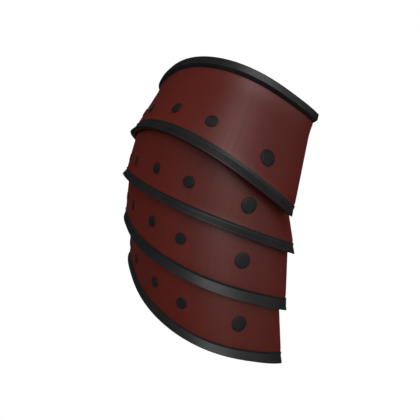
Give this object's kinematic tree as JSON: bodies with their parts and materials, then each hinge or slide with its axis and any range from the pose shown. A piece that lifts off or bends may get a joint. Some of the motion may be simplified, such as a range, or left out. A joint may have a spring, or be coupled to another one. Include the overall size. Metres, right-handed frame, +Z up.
{
  "type": "pauldron",
  "caption": "Shoulder armour of overlapping curved steel lames in dark red with charcoal edge trims and domed rivets, joined by leathers inside.",
  "frame": {"origin": "where the top of the shoulder bears: the middle of the inner face of the top lame, on its crown", "axes": "+Z up as worn, -Y outwards away from the neck, +X towards the wearer's front"},
  "size_m": [0.228, 0.1193, 0.214],
  "materials": {
    "lame_paint": "dark red lacquer on steel, satin, faint brush streaks",
    "trim_steel": "blackened steel, satin",
    "rivet_steel": "blackened steel, matt",
    "leather": "plain dark vegetable-tanned strap"
  },
  "bodies": {
    "root": {"lame_1": "lame_paint", "lame_2": "lame_paint", "lame_3": "lame_paint", "lame_4": "lame_paint", "trim_top": "trim_steel", "trim_1": "trim_steel", "trim_2": "trim_steel", "trim_3": "trim_steel", "trim_4": "trim_steel", "rivet_1a": "rivet_steel", "rivet_1b": "rivet_steel", "rivet_1c": "rivet_steel", "rivet_1d": "rivet_steel", "rivet_1e": "rivet_steel", "rivet_1f": "rivet_steel", "rivet_1g": "rivet_steel", "rivet_1h": "rivet_steel", "rivet_2a": "rivet_steel", "rivet_2b": "rivet_steel", "rivet_2c": "rivet_steel", "rivet_2d": "rivet_steel", "rivet_2e": "rivet_steel", "rivet_2f": "rivet_steel", "rivet_2g": "rivet_steel", "rivet_2h": "rivet_steel", "rivet_3a": "rivet_steel", "rivet_3b": "rivet_steel", "rivet_3c": "rivet_steel", "rivet_3d": "rivet_steel", "rivet_3e": "rivet_steel", "rivet_3f": "rivet_steel", "rivet_3g": "rivet_steel", "rivet_3h": "rivet_steel", "rivet_4a": "rivet_steel", "rivet_4b": "rivet_steel", "rivet_4c": "rivet_steel", "rivet_4d": "rivet_steel", "rivet_4e": "rivet_steel", "rivet_4f": "rivet_steel", "rivet_4g": "rivet_steel", "rivet_4h": "rivet_steel", "leather_front": "leather", "leather_front_inner": "leather", "leather_back_inner": "leather", "leather_back": "leather"}
  },
  "joints": []
}
